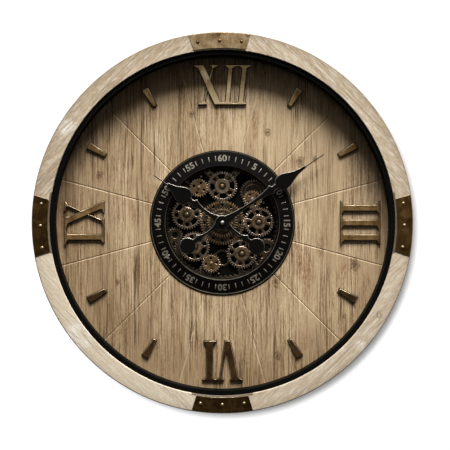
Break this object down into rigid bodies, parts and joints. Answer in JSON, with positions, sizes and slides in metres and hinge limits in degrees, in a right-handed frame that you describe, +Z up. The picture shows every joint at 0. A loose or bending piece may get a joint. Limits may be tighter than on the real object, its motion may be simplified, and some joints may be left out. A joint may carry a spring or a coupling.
{
  "type": "wall clock",
  "caption": "Round wooden wall clock with a recessed plank dial, bronze numerals and an open train of turning gears behind the spade hands.",
  "frame": {"origin": "on the wall plane, where the axis of the hands meets it", "axes": "+Z up towards twelve o'clock, +X towards three o'clock, -Y out of the dial, +Y into the wall"},
  "size_m": [0.6, 0.0748, 0.6],
  "materials": {
    "whitewashed_wood": "whitewashed, open grain, matt",
    "dial_wood": "weathered planks with knots, matt",
    "bronze": "aged bronze, dark patina with rubbed edges",
    "black_metal": "satin black paint",
    "dark_metal": "dark patina paint",
    "gear_bronze": "antique bronze with bright edges",
    "pinion_brass": "aged brass",
    "steel": "zinc-plated",
    "black_plastic": "matt moulded",
    "cell_wrap": "plain printed film"
  },
  "bodies": {
    "case": {"rim_upper_right": "whitewashed_wood", "rim_upper_left": "whitewashed_wood", "rim_lower_left": "whitewashed_wood", "rim_lower_right": "whitewashed_wood", "strap_top": "bronze", "strap_right": "bronze", "strap_bottom": "bronze", "strap_left": "bronze", "strap_nails": "bronze", "hoop_left": "black_metal", "hoop_right": "black_metal", "dial_board": "dial_wood", "numeral_twelve": "bronze", "numeral_three": "bronze", "numeral_six": "bronze", "numeral_nine": "bronze", "hour_markers": "bronze", "chapter_ring": "black_metal", "gear_tub": "dark_metal", "backdrop_gears": "dark_metal", "train_bridge": "dark_metal", "wheel_arbors": "pinion_brass", "pinion_arbors": "pinion_brass", "centre_post": "pinion_brass", "post_nut": "pinion_brass", "train_clip": "dark_metal", "movement_case": "black_plastic", "movement_cell": "cell_wrap", "drive_case": "black_plastic", "drive_cells": "cell_wrap", "hanger_plate": "steel"},
    "centre_gears": {"centre_wheel": "gear_bronze", "centre_step_gear": "gear_bronze", "centre_ratchet": "gear_bronze"},
    "top_gear": {"wheel_top": "gear_bronze"},
    "left_gear": {"wheel_left": "gear_bronze"},
    "right_gear": {"wheel_right": "gear_bronze"},
    "lower_left_gear": {"wheel_lower_left": "gear_bronze"},
    "lower_right_gear": {"wheel_lower_right": "gear_bronze"},
    "upper_left_pinion": {"pinion_upper_left": "pinion_brass"},
    "drive_pinion": {"pinion_upper_right": "pinion_brass", "drive_shaft": "steel"},
    "lower_pinion": {"pinion_lower": "pinion_brass"},
    "minute": {"minute_hand": "black_metal", "minute_arbor": "pinion_brass", "hand_cap": "steel"},
    "hour": {"hour_hand": "black_metal", "hour_pipe": "pinion_brass"},
    "setting_knob": {"set_knob": "black_plastic"},
    "power_switch": {"switch_slider": "black_plastic"}
  },
  "joints": [
    {"name": "centre_spin", "type": "hinge", "parent": "case", "child": "centre_gears", "pos_m": [0, 0, 0], "axis": [0, 1, 0], "continuous": true},
    {"name": "top_wheel_spin", "type": "hinge", "parent": "case", "child": "top_gear", "pos_m": [0, 0, 0.0585], "axis": [0, 1, 0], "continuous": true},
    {"name": "left_wheel_spin", "type": "hinge", "parent": "case", "child": "left_gear", "pos_m": [-0.057, 0, 0.01316], "axis": [0, 1, 0], "continuous": true},
    {"name": "right_wheel_spin", "type": "hinge", "parent": "case", "child": "right_gear", "pos_m": [0.05849, 0, 0.00102], "axis": [0, 1, 0], "continuous": true},
    {"name": "lower_left_wheel_spin", "type": "hinge", "parent": "case", "child": "lower_left_gear", "pos_m": [-0.04415, 0, -0.03838], "axis": [0, 1, 0], "continuous": true},
    {"name": "lower_right_wheel_spin", "type": "hinge", "parent": "case", "child": "lower_right_gear", "pos_m": [0.03126, 0, -0.04945], "axis": [0, 1, 0], "continuous": true},
    {"name": "upper_left_pinion_spin", "type": "hinge", "parent": "case", "child": "upper_left_pinion", "pos_m": [-0.03761, 0, 0.05594], "axis": [0, 1, 0], "continuous": true},
    {"name": "drive_pinion_spin", "type": "hinge", "parent": "case", "child": "drive_pinion", "pos_m": [0.04835, 0, 0.03733], "axis": [0, 1, 0], "continuous": true},
    {"name": "lower_pinion_spin", "type": "hinge", "parent": "case", "child": "lower_pinion", "pos_m": [-0.01763, 0, -0.06518], "axis": [0, 1, 0], "continuous": true},
    {"name": "minute_turn", "type": "hinge", "parent": "case", "child": "minute", "pos_m": [0, 0, 0], "axis": [0, 1, 0], "continuous": true},
    {"name": "hour_turn", "type": "hinge", "parent": "case", "child": "hour", "pos_m": [0, 0, 0], "axis": [0, 1, 0], "continuous": true},
    {"name": "knob_turn", "type": "hinge", "parent": "case", "child": "setting_knob", "pos_m": [0, 0, 0.014], "axis": [0, 1, 0], "continuous": true},
    {"name": "switch_slide", "type": "slide", "parent": "case", "child": "power_switch", "axis": [1, 0, 0], "range_m": [0, 0.004]}
  ],
  "couplings": [
    {"joint": "top_wheel_spin", "follows": "centre_spin", "ratio": -1.5},
    {"joint": "left_wheel_spin", "follows": "centre_spin", "ratio": -1.5},
    {"joint": "right_wheel_spin", "follows": "centre_spin", "ratio": -1.5},
    {"joint": "lower_left_wheel_spin", "follows": "centre_spin", "ratio": -1.5},
    {"joint": "lower_right_wheel_spin", "follows": "centre_spin", "ratio": -1.5},
    {"joint": "upper_left_pinion_spin", "follows": "centre_spin", "ratio": 2.4545},
    {"joint": "drive_pinion_spin", "follows": "centre_spin", "ratio": 2.4545},
    {"joint": "lower_pinion_spin", "follows": "centre_spin", "ratio": 2.4545},
    {"joint": "hour_turn", "follows": "minute_turn", "ratio": 0.083333},
    {"joint": "knob_turn", "follows": "minute_turn", "ratio": -0.33333}
  ]
}
